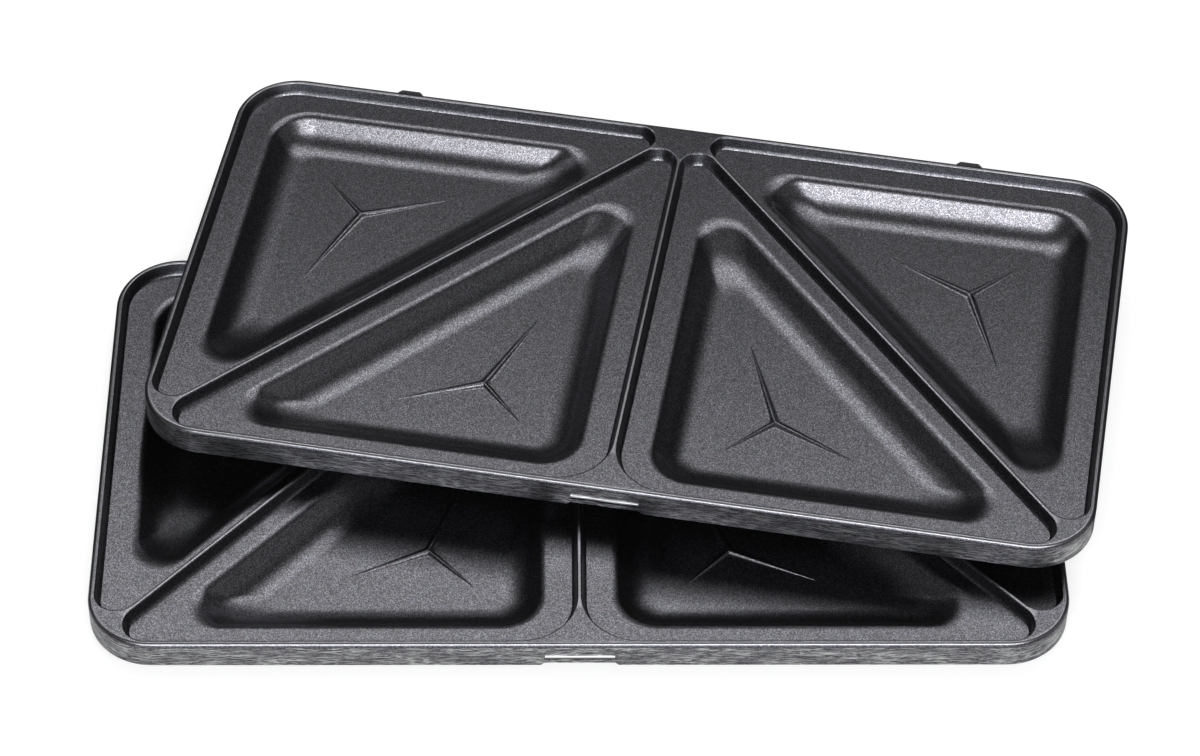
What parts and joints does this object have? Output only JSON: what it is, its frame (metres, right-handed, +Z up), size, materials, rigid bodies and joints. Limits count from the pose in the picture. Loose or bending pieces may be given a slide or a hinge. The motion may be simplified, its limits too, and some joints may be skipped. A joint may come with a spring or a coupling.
{
  "type": "removable sandwich toaster plate pair",
  "caption": "Non-stick cast plates for a sandwich toaster, each with triangular pockets, rear tabs and a front catch, one lying turned on the other.",
  "frame": {"origin": "centre of the pair's footprint, on the surface that the lower plate lies on", "axes": "+X to the right along the lower plate's long side, +Y to its back, +Z up"},
  "size_m": [0.2606, 0.1837, 0.0237],
  "materials": {
    "lower_coating": "dark grey non-stick coating on cast aluminium, fine speckle, satin",
    "upper_coating": "dark grey non-stick coating on cast aluminium, fine speckle, satin",
    "catch_steel": "bright brushed steel"
  },
  "bodies": {
    "lower": {"lower_plate": "lower_coating", "lower_catch_strip": "catch_steel"},
    "upper": {"upper_plate": "upper_coating", "upper_catch_strip": "catch_steel"}
  },
  "joints": [
    {"name": "upper_plate_lift", "type": "slide", "parent": "lower", "child": "upper", "axis": [0, 0, 1], "range_m": [0, 0.15]}
  ]
}
